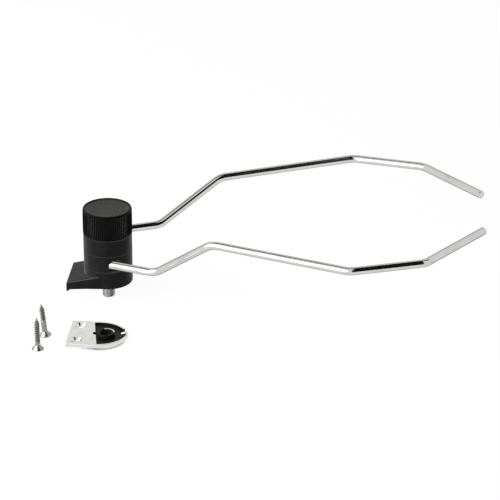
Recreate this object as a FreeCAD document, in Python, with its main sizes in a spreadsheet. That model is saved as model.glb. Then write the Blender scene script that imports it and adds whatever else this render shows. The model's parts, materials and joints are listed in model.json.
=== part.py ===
import FreeCAD, Part
import math
import os
import Sketcher

# Fishing rod holder: two bent wire arms swivel on a small turret and are clamped by a ribbed knob.
# The turret stands on the deck, its tail hooks over a deck plate and its stud screws into that plate.
# Millimetres and degrees. The origin is on the turret's axis, level with the underside of the foot.
# +Z is up, and the tail points along -X.

doc = FreeCAD.newDocument("RodHolder")

# ---------------------------------------------------------------------------------------------
# Driving sizes
# ---------------------------------------------------------------------------------------------
sizes = doc.addObject("Spreadsheet::Sheet", "Sizes")
fits = doc.addObject("Spreadsheet::Sheet", "Fits")


def fill(sheet, entries):
    """Give the sheet one named row for each entry."""
    for row, (name, value) in enumerate(entries.items(), start=1):
        sheet.set(f"A{row}", name)
        sheet.set(f"B{row}", str(value))
        sheet.setAlias(f"B{row}", name)


DRIVING = {
    # turret
    "body_diameter": 37.6,
    "knob_overhang": 0.2,
    "foot_height": 13.8,
    "knob_height": 20.5,
    "seam_gap": 0.4,
    "edge_chamfer": 0.6,
    # arms and the rings that hold them
    "wire_diameter": 6.0,
    "wire_clearance": 0.1,
    "groove_clearance": 0.2,
    "eye_cover": 2.15,
    "eye_wrap": 240,
    "ring_height": 12.7,
    "lower_wire_rise": 5.6,
    "upper_wire_rise": 7.1,
    "funnel_flare": 0.7,
    "funnel_length": 3.0,
    "bend_one_reach": 38.2,
    "bend_one_spread": 28.6,
    "bend_two_reach": 83.5,
    "bend_two_spread": 62.8,
    "bend_three_reach": 187.3,
    "bend_three_spread": 105.0,
    "bend_four_reach": 242.7,
    "bend_four_spread": 89.6,
    "tip_reach": 287.2,
    "tip_spread": 33.1,
    "cradle_height": 60.2,
    "bend_four_rise": 0.7,
    "tip_rise": 2.1,
    "soft_bend_radius": 18.0,
    "tight_bend_radius": 12.0,
    "fork_heading": 3.0,
    "bend_share": 0.45,
    # pivot, discs and clamp
    "bolt_diameter": 10.0,
    "bolt_clearance": 0.2,
    "sleeve_wall": 1.5,
    "sleeve_seat_height": 6.0,
    "sleeve_relief": 0.5,
    "press_clearance": 0.02,
    "running_clearance": 0.05,
    "disc_thickness": 1.2,
    "disc_margin": 3.8,
    "disc_clearance": 0.3,
    "thrust_washer_width": 6.0,
    "thrust_washer_thickness": 1.0,
    "spring_height": 1.6,
    "spring_thickness": 0.8,
    "spring_width": 5.5,
    "stud_length": 13.2,
    "stud_chamfer": 0.6,
    "clip_thickness": 1.0,
    "clip_width": 3.0,
    "clip_groove_depth": 0.8,
    "clip_mouth": 6.0,
    "clip_washer_thickness": 1.2,
    "clip_washer_width": 3.6,
    "clip_setback": 2.6,
    "clip_side_gap": 1.0,
    # knob
    "knob_web": 5.0,
    "knob_skirt": 2.6,
    "hex_width": 16.0,
    "hex_height": 6.4,
    "hex_clearance": 0.1,
    "cover_thickness": 2.0,
    "cover_inset": 0.4,
    "cover_clearance": 0.1,
    "knob_rim": 1.6,
    "rib_count": 72,
    "rib_depth": 0.5,
    # tail with its hook
    "hook_reach": 28.4,
    "hook_thickness": 2.0,
    "hook_clearance": 0.2,
    "hook_drop": 2.8,
    "tail_edge_height": 4.5,
    "tail_root_height": 10.2,
    "tail_root_reach": 6.0,
    # deck plate, which lies apart from the turret
    "plate_forward": 8.9,
    "plate_sideways": -78.3,
    "plate_width": 39.3,
    "plate_depth": 5.6,
    "flange_thickness": 2.6,
    "nose_reach": 16.6,
    "nose_point": 3.0,
    "rim_width": 1.5,
    "recess_depth": 1.6,
    "recess_reach": 8.0,
    "recess_skew": 10.0,
    "boss_radius": 15.5,
    "boss_setback": 3.0,
    "channel_width": 5.0,
    "channel_length": 7.7,
    "channel_depth": 0.3,
    "drain_width": 4.5,
    "drain_angle": 28.0,
    "bush_wall": 1.6,
    "bush_collar": 3.0,
    "thread_depth": 0.75,
    "screw_spacing": 24.6,
    "screw_setback": 21.0,
    "screw_hole_diameter": 5.4,
    "countersink_diameter": 9.4,
    # deck screws, which stand on their heads beside the plate
    "screw_diameter": 4.6,
    "screw_core": 3.2,
    "screw_length": 26.6,
    "screw_head_diameter": 9.2,
    "screw_head_height": 3.2,
    "screw_head_rim": 0.4,
    "screw_shank": 7.0,
    "screw_point": 5.0,
    "front_screw_forward": -40.1,
    "front_screw_sideways": -97.4,
    "front_screw_lean": 1.0,
    "back_screw_forward": -38.0,
    "back_screw_sideways": -74.7,
    "back_screw_lean": 6.0,
}
fill(sizes, DRIVING)

# ---------------------------------------------------------------------------------------------
# Sizes that follow from the driving ones
# ---------------------------------------------------------------------------------------------
FOLLOWING = {
    "body_radius": "=Sizes.body_diameter / 2",
    "wire_radius": "=Sizes.wire_diameter / 2",
    "lower_ring_base": "=Sizes.foot_height + Sizes.seam_gap",
    "upper_ring_base": "=lower_ring_base + Sizes.ring_height + Sizes.seam_gap",
    "knob_base": "=upper_ring_base + Sizes.ring_height + Sizes.seam_gap",
    "eye_radius": "=body_radius - Sizes.eye_cover - wire_radius",
    "groove_inner": "=eye_radius - wire_radius - Sizes.groove_clearance",
    "groove_outer": "=eye_radius + wire_radius + Sizes.groove_clearance",
    "groove_half": "=wire_radius + Sizes.groove_clearance",
    "disc_radius": "=body_radius - Sizes.disc_margin",
    "disc_recess_radius": "=disc_radius + Sizes.disc_clearance",
    "disc_recess_depth": "=Sizes.disc_thickness - Sizes.seam_gap",
    "bolt_radius": "=Sizes.bolt_diameter / 2",
    "sleeve_inner": "=bolt_radius + Sizes.bolt_clearance",
    "sleeve_outer": "=sleeve_inner + Sizes.sleeve_wall",
    "sleeve_top": "=knob_base - Sizes.sleeve_relief",
    "running_bore": "=sleeve_outer + Sizes.running_clearance",
    "disc_bore": "=sleeve_outer + Sizes.disc_clearance",
    "clip_groove_radius": "=bolt_radius - Sizes.clip_groove_depth",
    "clip_radius": "=bolt_radius + Sizes.clip_width",
    "clip_top": "=Sizes.clip_setback + Sizes.clip_thickness",
    "clip_washer_radius": "=bolt_radius + Sizes.clip_washer_width",
    "clip_pocket_depth": "=clip_top + Sizes.clip_washer_thickness",
    "clip_pocket_radius": "=clip_washer_radius + Sizes.clip_side_gap",
    "knob_radius": "=body_radius + Sizes.knob_overhang",
    "knob_top": "=knob_base + Sizes.knob_height",
    "spring_base": "=knob_base + Sizes.thrust_washer_thickness",
    "web_base": "=spring_base + Sizes.spring_height",
    "head_base": "=web_base + Sizes.knob_web",
    "cover_base": "=knob_top - Sizes.cover_inset - Sizes.cover_thickness",
    "cover_radius": "=knob_radius - Sizes.rib_depth - Sizes.knob_rim",
    "plate_half": "=Sizes.plate_width / 2",
    "plate_tail": "=Sizes.hook_reach - Sizes.hook_clearance",
    "plate_drop": "=Sizes.stud_length",
    "nose_radius": "=plate_half + Sizes.nose_point",
    "nose_centre": "=Sizes.nose_reach - sqrt(nose_radius ^ 2 - Sizes.nose_point ^ 2)",
    "recess_floor": "=Sizes.plate_depth - Sizes.recess_depth",
    "thread_radius": "=bolt_radius - Sizes.thread_depth",
    "bush_radius": "=bolt_radius + Sizes.bush_wall",
    "bush_top": "=recess_floor + Sizes.bush_collar",
    "screw_thread_radius": "=(Sizes.screw_diameter + Sizes.screw_core) / 4",
}
fill(fits, FOLLOWING)
doc.recompute()


def size(name):
    """Value of one named cell of either sheet."""
    sheet = sizes if sizes.getCellFromAlias(name) else fits
    return float(sheet.get(name))


# ---------------------------------------------------------------------------------------------
# Ways of making a piece
# ---------------------------------------------------------------------------------------------
def origin_plane(body, role):
    """One of the body's own origin planes."""
    return next(item for item in body.Origin.OriginFeatures if item.Role == role)


def outline_sketch(body, name, role, corners):
    """Closed outline of straight edges, with each corner's two distances bound to the sheets."""
    sketch = body.newObject("Sketcher::SketchObject", name)
    sketch.AttachmentSupport = [(origin_plane(body, role), "")]
    sketch.MapMode = "FlatFace"
    places = []
    for across, up in corners:
        x, y = (float(sketch.evalExpression(text)) for text in (across, up))
        places.append(FreeCAD.Vector(x, y, 0))
    ends = places[1:] + places[:1]
    sketch.addGeometry([Part.LineSegment(a, b) for a, b in zip(places, ends)], False)
    count = len(places)
    for edge in range(count):
        sketch.addConstraint(Sketcher.Constraint("Coincident", edge, 2, (edge + 1) % count, 1))
    for edge, (place, texts) in enumerate(zip(places, corners)):
        for kind, value, text in zip(("DistanceX", "DistanceY"), (place.x, place.y), texts):
            number = sketch.addConstraint(Sketcher.Constraint(kind, -1, 1, edge, 1, value))
            sketch.setExpression(f"Constraints[{number}]", text)
    return sketch


def turned(name, corners):
    """Body turned about Z from corners given as radius and height."""
    body = doc.addObject("PartDesign::Body", name)
    profile = outline_sketch(body, name + "_profile", "XZ_Plane", corners)
    turn = body.newObject("PartDesign::Revolution", name + "_turn")
    turn.Profile = profile
    turn.ReferenceAxis = (profile, ["V_Axis"])
    turn.Angle = 360
    body.Tip = turn
    return body


def washer(name, inner, outer, bottom, top):
    """Flat ring."""
    return turned(name, [(inner, bottom), (outer, bottom), (outer, top), (inner, top)])


def primitive(kind, name, bindings):
    """Part primitive with its properties bound to the sheets."""
    item = doc.addObject(kind, name)
    for prop, text in bindings.items():
        item.setExpression(prop, text)
    return item


def combined(kind, name, base, tool):
    """Boolean of two objects."""
    item = doc.addObject(kind, name)
    item.Base = base
    item.Tool = tool
    return item


def fixed_shape(name, shape):
    """Object for a shape that no feature makes."""
    item = doc.addObject("Part::Feature", name)
    item.Shape = shape
    return item


UP = FreeCAD.Vector(0, 0, 1)
ZERO = FreeCAD.Vector(0, 0, 0)
pieces = []

# ---------------------------------------------------------------------------------------------
# Foot: round base with a sloping tail and a hook that grips the square end of the deck plate
# ---------------------------------------------------------------------------------------------
foot = doc.addObject("PartDesign::Body", "base_foot")
tail_profile = outline_sketch(foot, "tail_profile", "XZ_Plane", [
    ("-Sizes.hook_reach - Sizes.hook_thickness", "-Sizes.hook_drop"),
    ("-Sizes.hook_reach", "-Sizes.hook_drop"),
    ("-Sizes.hook_reach", "0"),
    ("0", "0"),
    ("0", "Sizes.tail_root_height"),
    ("-Sizes.tail_root_reach", "Sizes.tail_root_height"),
    ("-Sizes.hook_reach - Sizes.hook_thickness", "Sizes.tail_edge_height"),
])
tail = foot.newObject("PartDesign::Pad", "tail")
tail.Profile = tail_profile
tail.SideType = "Symmetric"
tail.setExpression("Length", "Sizes.body_diameter")
round_profile = outline_sketch(foot, "foot_profile", "XZ_Plane", [
    ("0", "0"),
    ("Fits.body_radius - Sizes.edge_chamfer", "0"),
    ("Fits.body_radius", "Sizes.edge_chamfer"),
    ("Fits.body_radius", "Sizes.foot_height"),
    ("0", "Sizes.foot_height"),
])
round_foot = foot.newObject("PartDesign::Revolution", "round_foot")
round_foot.Profile = round_profile
round_foot.ReferenceAxis = (round_profile, ["V_Axis"])
round_foot.Angle = 360
doc.recompute()
solid_volume = round_foot.Shape.Volume
hollow_profile = outline_sketch(foot, "hollow_profile", "XZ_Plane", [
    ("0", "0"),
    ("Fits.clip_pocket_radius", "0"),
    ("Fits.clip_pocket_radius", "Fits.clip_pocket_depth"),
    ("Fits.sleeve_inner", "Fits.clip_pocket_depth"),
    ("Fits.sleeve_inner", "Sizes.sleeve_seat_height"),
    ("Fits.sleeve_outer + Sizes.press_clearance", "Sizes.sleeve_seat_height"),
    ("Fits.sleeve_outer + Sizes.press_clearance", "Sizes.foot_height - Fits.disc_recess_depth"),
    ("Fits.disc_recess_radius", "Sizes.foot_height - Fits.disc_recess_depth"),
    ("Fits.disc_recess_radius", "Sizes.foot_height"),
    ("0", "Sizes.foot_height"),
])
hollow = foot.newObject("PartDesign::Groove", "hollow")
hollow.Profile = hollow_profile
hollow.ReferenceAxis = (hollow_profile, ["V_Axis"])
hollow.Angle = 360
foot.Tip = hollow
doc.recompute()
assert hollow.Shape.Volume < solid_volume
pieces.append(foot)

# ---------------------------------------------------------------------------------------------
# Pivot sleeve: stands in the foot and carries both rings
# ---------------------------------------------------------------------------------------------
pieces.append(washer(
    "pivot_sleeve", "Fits.sleeve_inner", "Fits.sleeve_outer",
    "Sizes.sleeve_seat_height", "Fits.sleeve_top"))


# ---------------------------------------------------------------------------------------------
# Arms: one bar each, with an eye wound round the pivot and four bends out to the tip
# ---------------------------------------------------------------------------------------------
def tangent_angle(side):
    """Angle about the axis where the bar leaves its eye. The front arm is on side -1, the back one on 1."""
    reach = size("bend_one_reach")
    spread = size("bend_one_spread")
    swing = math.acos(size("eye_radius") / math.hypot(reach, spread))
    return side * (math.atan2(spread, reach) + swing)


def on_circle(radius, angle, height):
    """Point at an angle in radians about the axis."""
    return FreeCAD.Vector(radius * math.cos(angle), radius * math.sin(angle), height)


def bent_path(start, corners, radii):
    """Straight runs from start through the corners, with a tangent arc at every corner but the last.

    No arc takes more than the bend share of the shorter run beside it.
    """
    edges = []
    here = start
    for number, radius in enumerate(radii):
        before = (corners[number] - here).normalize()
        after = (corners[number + 1] - corners[number]).normalize()
        half_turn = before.getAngle(after) / 2
        shorter = min((corners[number] - here).Length, (corners[number + 1] - corners[number]).Length)
        cut = min(radius * math.tan(half_turn), size("bend_share") * shorter)
        depth = cut * (1 - math.cos(half_turn)) / math.sin(half_turn)
        inward = (after - before).normalize()
        first = corners[number] - before * cut
        last = corners[number] + after * cut
        edges.append(Part.LineSegment(here, first).toShape())
        edges.append(Part.Arc(first, corners[number] + inward * depth, last).toShape())
        here = last
    edges.append(Part.LineSegment(here, corners[-1]).toShape())
    return edges


def arm_shape(level, side):
    """Bar of one arm, before it is turned to the fork's heading."""
    height = size(level + "_ring_base") + size(level + "_wire_rise")
    cradle = size("cradle_height")
    eye = size("eye_radius")
    leave = tangent_angle(side)
    wrap = side * math.radians(size("eye_wrap"))
    names = ("bend_one", "bend_two", "bend_three", "bend_four", "tip")
    heights = (height, cradle, cradle, cradle + size("bend_four_rise"), cradle + size("tip_rise"))
    corners = [
        FreeCAD.Vector(size(name + "_reach"), side * size(name + "_spread"), level)
        for name, level in zip(names, heights)
    ]
    soft = size("soft_bend_radius")
    tight = size("tight_bend_radius")
    end = on_circle(eye, leave + wrap, height)
    middle = on_circle(eye, leave + wrap / 2, height)
    start = on_circle(eye, leave, height)
    eye_arc = Part.Arc(end, middle, start).toShape()
    path = Part.Wire([eye_arc] + bent_path(start, corners, (soft, soft, tight, tight)))
    along = on_circle(1, leave + wrap + math.radians(90), 0)
    section = Part.Wire(Part.makeCircle(size("wire_radius"), end, along).Edges)
    bar = path.makePipeShell([section], True, False)
    expected = section.Length * size("wire_radius") / 2 * path.Length
    print("arm: volume", round(bar.Volume), "expected", round(expected), "length", round(path.Length, 1))
    bar.rotate(ZERO, UP, size("fork_heading"))
    return bar


def exit_shape(level, side):
    """Space that the bar needs where it leaves its ring, open at the ring's underside."""
    rise = size(level + "_wire_rise")
    height = size(level + "_ring_base") + rise
    radius = size("wire_radius") + size("wire_clearance")
    leave = tangent_angle(side)
    start = on_circle(size("eye_radius"), leave, height)
    outward = on_circle(1, leave - side * math.radians(90), 0)
    mouth = math.sqrt(size("body_radius") ** 2 - size("eye_radius") ** 2)
    length = mouth + size("body_radius")
    tube = Part.makeCylinder(radius, length, start, outward)
    slot = Part.makeBox(length, 2 * radius, rise, FreeCAD.Vector(0, -radius, 0))
    slot.rotate(ZERO, UP, math.degrees(leave) - side * 90)
    slot.translate(start - UP * rise)
    funnel_start = start + outward * (mouth - size("funnel_length"))
    flare = radius + size("funnel_flare")
    funnel = Part.makeCone(radius, flare, size("funnel_length"), funnel_start, outward)
    space = tube.fuse([slot, funnel])
    space.rotate(ZERO, UP, size("fork_heading"))
    return space


# ---------------------------------------------------------------------------------------------
# Rings: each is grooved from below for its arm's eye, closed by a cap, and topped by a friction disc
# ---------------------------------------------------------------------------------------------
def ring_stack(level, side):
    """Ring, cap, arm and the disc above them, for one level of the turret."""
    base = f"Fits.{level}_ring_base"
    top = base + " + Sizes.ring_height"
    wire = f"{base} + Sizes.{level}_wire_rise"
    blank = turned(level + "_ring_blank", [
        ("Fits.running_bore", wire + " - Fits.groove_half"),
        ("Fits.groove_inner", wire + " - Fits.groove_half"),
        ("Fits.groove_inner", wire + " + Fits.groove_half"),
        ("Fits.groove_outer", wire + " + Fits.groove_half"),
        ("Fits.groove_outer", base),
        ("Fits.body_radius", base),
        ("Fits.body_radius", top),
        ("Fits.disc_recess_radius", top),
        ("Fits.disc_recess_radius", top + " - Fits.disc_recess_depth"),
        ("Fits.running_bore", top + " - Fits.disc_recess_depth"),
    ])
    space = fixed_shape(level + "_exit_space", exit_shape(level, side))
    ring = combined("Part::Cut", level + "_ring", blank, space)
    cap = washer(
        level + "_ring_cap",
        "Fits.running_bore",
        "Fits.groove_outer - Sizes.wire_clearance",
        base,
        wire + " - Fits.groove_half",
    )
    arm = fixed_shape(level + "_arm", arm_shape(level, side))
    return [ring, cap, arm]


def friction_disc(name, face):
    """Disc let into the face below it, standing proud by the seam gap."""
    bottom = face + " - Fits.disc_recess_depth"
    return washer(name, "Fits.disc_bore", "Fits.disc_radius", bottom, bottom + " + Sizes.disc_thickness")


pieces.append(friction_disc("lower_friction_disc", "Sizes.foot_height"))
pieces += ring_stack("lower", -1)
pieces.append(friction_disc("middle_friction_disc", "Fits.lower_ring_base + Sizes.ring_height"))
pieces += ring_stack("upper", 1)
pieces.append(friction_disc("upper_friction_disc", "Fits.upper_ring_base + Sizes.ring_height"))

# ---------------------------------------------------------------------------------------------
# Clamp: thrust washer and dished spring under the knob, on a hexagon bolt that ends in the stud
# ---------------------------------------------------------------------------------------------
pieces.append(washer(
    "thrust_washer",
    "Fits.sleeve_inner",
    "Fits.sleeve_inner + Sizes.thrust_washer_width",
    "Fits.knob_base",
    "Fits.spring_base",
))
pieces.append(turned("disc_spring", [
    ("Fits.sleeve_inner", "Fits.web_base - Sizes.spring_thickness"),
    ("Fits.sleeve_inner + Sizes.spring_width", "Fits.spring_base"),
    ("Fits.sleeve_inner + Sizes.spring_width", "Fits.spring_base + Sizes.spring_thickness"),
    ("Fits.sleeve_inner", "Fits.web_base"),
]))
shank = turned("bolt_shank", [
    ("0", "-Sizes.stud_length"),
    ("Fits.bolt_radius - Sizes.stud_chamfer", "-Sizes.stud_length"),
    ("Fits.bolt_radius", "-Sizes.stud_length + Sizes.stud_chamfer"),
    ("Fits.bolt_radius", "Sizes.clip_setback"),
    ("Fits.clip_groove_radius", "Sizes.clip_setback"),
    ("Fits.clip_groove_radius", "Fits.clip_top"),
    ("Fits.bolt_radius", "Fits.clip_top"),
    ("Fits.bolt_radius", "Fits.head_base"),
    ("0", "Fits.head_base"),
])
HEX_CORNER = "(Sizes.hex_width / 2 / cos(30))"
head = primitive("Part::Prism", "bolt_head", {
    "Circumradius": HEX_CORNER,
    "Height": "Sizes.hex_height",
    "Placement.Base.z": "Fits.head_base",
})
pieces.append(combined("Part::Fuse", "clamp_bolt", shank, head))

# Open spring clip in the bolt's groove, and the washer that it holds up against the foot
clip_ring = washer(
    "clip_ring", "Fits.clip_groove_radius", "Fits.clip_radius", "Sizes.clip_setback", "Fits.clip_top")
clip_mouth = primitive("Part::Box", "clip_mouth", {
    "Length": "Fits.clip_radius",
    "Width": "Sizes.clip_mouth",
    "Height": "Sizes.clip_thickness",
    "Placement.Base.y": "-Sizes.clip_mouth / 2",
    "Placement.Base.z": "Sizes.clip_setback",
})
pieces.append(combined("Part::Cut", "retaining_clip", clip_ring, clip_mouth))
pieces.append(washer(
    "clip_washer", "Fits.sleeve_inner", "Fits.clip_washer_radius",
    "Fits.clip_top", "Fits.clip_pocket_depth"))

# ---------------------------------------------------------------------------------------------
# Knob: ribbed shell with a hexagon socket for the bolt's head, closed by a flat cover
# ---------------------------------------------------------------------------------------------
knob_blank = turned("knob_blank", [
    ("Fits.sleeve_inner", "Fits.web_base"),
    ("Fits.knob_radius - Sizes.rib_depth - Sizes.knob_skirt", "Fits.web_base"),
    ("Fits.knob_radius - Sizes.rib_depth - Sizes.knob_skirt", "Fits.knob_base"),
    ("Fits.knob_radius - Sizes.edge_chamfer", "Fits.knob_base"),
    ("Fits.knob_radius", "Fits.knob_base + Sizes.edge_chamfer"),
    ("Fits.knob_radius", "Fits.knob_top - Sizes.edge_chamfer"),
    ("Fits.knob_radius - Sizes.edge_chamfer", "Fits.knob_top"),
    ("Fits.cover_radius", "Fits.knob_top"),
    ("Fits.cover_radius", "Fits.cover_base"),
    ("Fits.sleeve_inner", "Fits.cover_base"),
])
socket = primitive("Part::Prism", "hexagon_socket", {
    "Circumradius": HEX_CORNER + " + Sizes.hex_clearance",
    "Height": "Fits.cover_base - Fits.head_base",
    "Placement.Base.z": "Fits.head_base",
})
plain_knob = combined("Part::Cut", "plain_knob", knob_blank, socket)


def ribbed_bar():
    """Bar with one ridge and one valley for each rib, as tall as the knob."""
    steps = 2 * round(size("rib_count"))
    crest = size("knob_radius")
    valley = crest - size("rib_depth")
    points = [
        on_circle(valley if step % 2 else crest, 2 * math.pi * step / steps, size("knob_base"))
        for step in range(steps + 1)
    ]
    return Part.Face(Part.makePolygon(points)).extrude(UP * size("knob_height"))


pieces.append(combined("Part::Common", "knob_shell", plain_knob, fixed_shape("ribbed_bar", ribbed_bar())))
pieces.append(turned("knob_cover", [
    ("0", "Fits.cover_base"),
    ("Fits.cover_radius - Sizes.cover_clearance", "Fits.cover_base"),
    ("Fits.cover_radius - Sizes.cover_clearance",
     "Fits.cover_base + Sizes.cover_thickness - Sizes.cover_inset"),
    ("Fits.cover_radius - Sizes.cover_clearance - Sizes.cover_inset",
     "Fits.cover_base + Sizes.cover_thickness"),
    ("0", "Fits.cover_base + Sizes.cover_thickness"),
]))

# ---------------------------------------------------------------------------------------------
# Deck plate: thin flange with two countersunk holes, and a pointed nose with a recess over a round boss
# ---------------------------------------------------------------------------------------------
def pointed_nose(name, trim, bottom, top):
    """Space inside two overlapping circles, whose outlines meet in a blunt point along +X."""
    halves = [
        primitive("Part::Cylinder", f"{name}_{label}", {
            "Radius": f"Fits.nose_radius - {trim}",
            "Height": f"{top} - {bottom}",
            "Placement.Base.x": "Fits.nose_centre",
            "Placement.Base.y": f"{sign}Sizes.nose_point",
            "Placement.Base.z": bottom,
        })
        for label, sign in (("left", ""), ("right", "-"))
    ]
    return combined("Part::Common", name, *halves)


def block(name, start, end, half_width, bottom, top):
    """Box along X, centred on the plate's middle line."""
    return primitive("Part::Box", name, {
        "Length": f"{end} - ({start})",
        "Width": f"2 * ({half_width})",
        "Height": f"{top} - ({bottom})",
        "Placement.Base.x": start,
        "Placement.Base.y": f"-({half_width})",
        "Placement.Base.z": bottom,
    })


FLANGE_BASE = "Sizes.plate_depth - Sizes.flange_thickness"
flange = block(
    "flange", "-Fits.plate_tail", "Fits.nose_centre", "Fits.plate_half", FLANGE_BASE, "Sizes.plate_depth")
nose_top = pointed_nose("nose_top", "0", "(" + FLANGE_BASE + ")", "Sizes.plate_depth")
round_boss = primitive("Part::Cylinder", "round_boss", {
    "Radius": "Sizes.boss_radius",
    "Height": "Sizes.plate_depth",
    "Placement.Base.x": "-Sizes.boss_setback",
})
boss_trim = block(
    "boss_trim", "-Sizes.recess_reach", "Sizes.boss_radius", "Sizes.boss_radius", "0", "Sizes.plate_depth")
boss = combined("Part::Common", "boss", round_boss, boss_trim)
blank_plate = doc.addObject("Part::MultiFuse", "blank_plate")
blank_plate.Shapes = [flange, nose_top, boss]

recess_nose = pointed_nose("recess_nose", "Sizes.rim_width", "Fits.recess_floor", "Sizes.plate_depth")
recess_side = block(
    "recess_side", "0", "2 * Sizes.plate_width", "Sizes.plate_width",
    "Fits.recess_floor", "Sizes.plate_depth")
recess_side.Placement.Rotation = FreeCAD.Rotation(UP, 1)
recess_side.setExpression("Placement.Rotation.Angle", "Sizes.recess_skew")
recess_side.setExpression(
    "Placement.Base.x", "-Sizes.recess_reach + Sizes.plate_width * sin(Sizes.recess_skew)")
recess_side.setExpression("Placement.Base.y", "-Sizes.plate_width * cos(Sizes.recess_skew)")
recess = combined("Part::Common", "recess", recess_nose, recess_side)
channel = block(
    "channel", "-Sizes.channel_length", "0", "Sizes.channel_width / 2",
    "Fits.recess_floor - Sizes.channel_depth", "Sizes.plate_depth")
channel_end = primitive("Part::Cylinder", "channel_end", {
    "Radius": "Sizes.channel_width / 2",
    "Height": "Sizes.recess_depth + Sizes.channel_depth",
    "Placement.Base.x": "-Sizes.channel_length",
    "Placement.Base.z": "Fits.recess_floor - Sizes.channel_depth",
})
drain = block(
    "drain", "Fits.bush_radius + Sizes.drain_width", "2 * Sizes.nose_reach", "Sizes.drain_width / 2",
    "0", "Sizes.plate_depth")
drain.Placement.Rotation = FreeCAD.Rotation(UP, 1)
DRAIN_START = "(Fits.bush_radius + Sizes.drain_width)"
drain.setExpression("Placement.Rotation.Angle", "Sizes.drain_angle")
drain.setExpression(
    "Placement.Base.x",
    DRAIN_START + " * cos(Sizes.drain_angle) + Sizes.drain_width / 2 * sin(Sizes.drain_angle)")
drain.setExpression(
    "Placement.Base.y",
    DRAIN_START + " * sin(Sizes.drain_angle) - Sizes.drain_width / 2 * cos(Sizes.drain_angle)")
bush_hole = primitive("Part::Cylinder", "bush_hole", {
    "Radius": "Fits.bush_radius + Sizes.press_clearance",
    "Height": "Sizes.plate_depth",
})
cuts = [recess, channel, channel_end, drain, bush_hole]
for label, sign in (("left", ""), ("right", "-")):
    cuts.append(primitive("Part::Cylinder", f"screw_hole_{label}", {
        "Radius": "Sizes.screw_hole_diameter / 2",
        "Height": "Sizes.plate_depth",
        "Placement.Base.x": "-Sizes.screw_setback",
        "Placement.Base.y": f"{sign}Sizes.screw_spacing / 2",
    }))
    cuts.append(primitive("Part::Cone", f"countersink_{label}", {
        "Radius1": "Sizes.screw_hole_diameter / 2",
        "Radius2": "Sizes.countersink_diameter / 2",
        "Height": "(Sizes.countersink_diameter - Sizes.screw_hole_diameter) / 2",
        "Placement.Base.x": "-Sizes.screw_setback",
        "Placement.Base.y": f"{sign}Sizes.screw_spacing / 2",
        "Placement.Base.z":
            "Sizes.plate_depth - (Sizes.countersink_diameter - Sizes.screw_hole_diameter) / 2",
    }))
plate_cuts = doc.addObject("Part::MultiFuse", "plate_cuts")
plate_cuts.Shapes = cuts
deck_plate = combined("Part::Cut", "deck_plate", blank_plate, plate_cuts)
bush = washer("plate_thread_bush", "Fits.thread_radius", "Fits.bush_radius", "0", "Fits.bush_top")
for item in (deck_plate, bush):
    item.setExpression("Placement.Base.x", "Sizes.plate_forward")
    item.setExpression("Placement.Base.y", "Sizes.plate_sideways")
    item.setExpression("Placement.Base.z", "-Fits.plate_drop")
    pieces.append(item)


# ---------------------------------------------------------------------------------------------
# Deck screws: two countersunk wood screws, standing point up
# ---------------------------------------------------------------------------------------------
def deck_screw(place):
    """One screw, from the flat of its head up to its point, leaning over one edge of its head."""
    screw = turned(place + "_screw", [
        ("0", "0"),
        ("Sizes.screw_head_diameter / 2", "0"),
        ("Sizes.screw_head_diameter / 2", "Sizes.screw_head_rim"),
        ("Sizes.screw_diameter / 2", "Sizes.screw_head_height"),
        ("Sizes.screw_diameter / 2", "Sizes.screw_head_height + Sizes.screw_shank"),
        ("Fits.screw_thread_radius", "Sizes.screw_head_height + Sizes.screw_shank"),
        ("Fits.screw_thread_radius", "Sizes.screw_length - Sizes.screw_point"),
        ("0", "Sizes.screw_length"),
    ])
    screw.setExpression("Placement.Base.x", f"Sizes.{place}_screw_forward")
    screw.setExpression("Placement.Base.y", f"Sizes.{place}_screw_sideways")
    lean = f"Sizes.{place}_screw_lean"
    screw.Placement.Rotation = FreeCAD.Rotation(FreeCAD.Vector(0, -1, 0), 1)
    screw.setExpression("Placement.Rotation.Angle", lean)
    screw.setExpression(
        "Placement.Base.z", f"-Fits.plate_drop + Sizes.screw_head_diameter / 2 * sin({lean})")
    return screw


screws = doc.addObject("Part::Compound", "deck_screws")
screws.Links = [deck_screw("front"), deck_screw("back")]
pieces.append(screws)

# ---------------------------------------------------------------------------------------------
# Check every object, then write one file for each piece
# ---------------------------------------------------------------------------------------------
doc.recompute()
for item in doc.Objects:
    if "Invalid" in item.State or "Error" in item.State:
        raise RuntimeError(f"{item.Name} failed: {item.State}")
os.makedirs("parts", exist_ok=True)
for piece in pieces:
    piece.Label = piece.Name
    shape = piece.Shape
    if shape.isNull() or not shape.isValid() or not shape.Solids:
        raise RuntimeError(f"{piece.Name} has no valid solid")
for piece in pieces:
    piece.Shape.exportStep(os.path.join("parts", piece.Label + ".step"))
    print(piece.Label, len(piece.Shape.Solids), "solid(s),", round(piece.Shape.Volume), "cubic mm")
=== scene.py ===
import bmesh
import bpy
import json
import math
from mathutils import Matrix, Vector

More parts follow.
